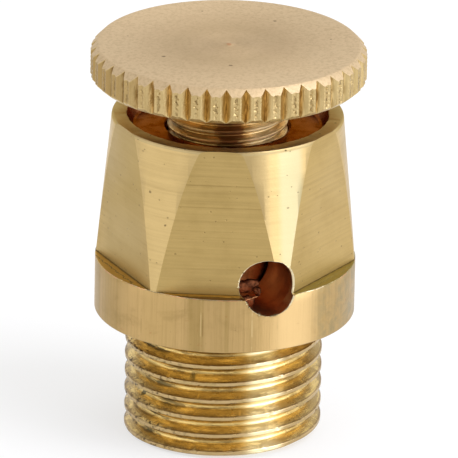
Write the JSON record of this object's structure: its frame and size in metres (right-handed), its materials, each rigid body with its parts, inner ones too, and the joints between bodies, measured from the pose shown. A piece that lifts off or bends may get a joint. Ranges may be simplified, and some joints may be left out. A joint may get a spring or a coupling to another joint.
{
  "type": "radiator bleed valve",
  "caption": "Turned brass radiator bleed valve with a knurled hand knob on a screwed spindle, a tapered hexagonal grip, a side vent hole and a male pipe thread.",
  "frame": {"origin": "centre of the nipple's end face, which is the bottom of the part", "axes": "+Z along the valve's axis, from the nipple up through the knob; one of the six flats faces -Y"},
  "size_m": [0.0135, 0.0134, 0.0199],
  "materials": {
    "body_brass": "turned and milled bare brass with fine tool lines, bar-drawn collar",
    "knob_brass": "turned bare brass, satin face with faint rings, straight knurled edge",
    "seal_rubber": "matt black nitrile rubber"
  },
  "bodies": {
    "housing": {"valve_body": "body_brass"},
    "seal_carrier": {"seat_seal": "seal_rubber"},
    "spindle": {"knob_spindle": "knob_brass"}
  },
  "joints": [
    {"name": "spindle_travel", "type": "slide", "parent": "housing", "child": "seal_carrier", "axis": [0, 0, 1], "range_m": [-0.00125, 0.0005]},
    {"name": "knob_turn", "type": "hinge", "parent": "seal_carrier", "child": "spindle", "pos_m": [0, 0, 0.01814], "axis": [0, 0, 1], "range_deg": [-900.1, 360.1]}
  ],
  "couplings": [
    {"joint": "knob_turn", "follows": "spindle_travel", "rad_per_m": 12566}
  ]
}
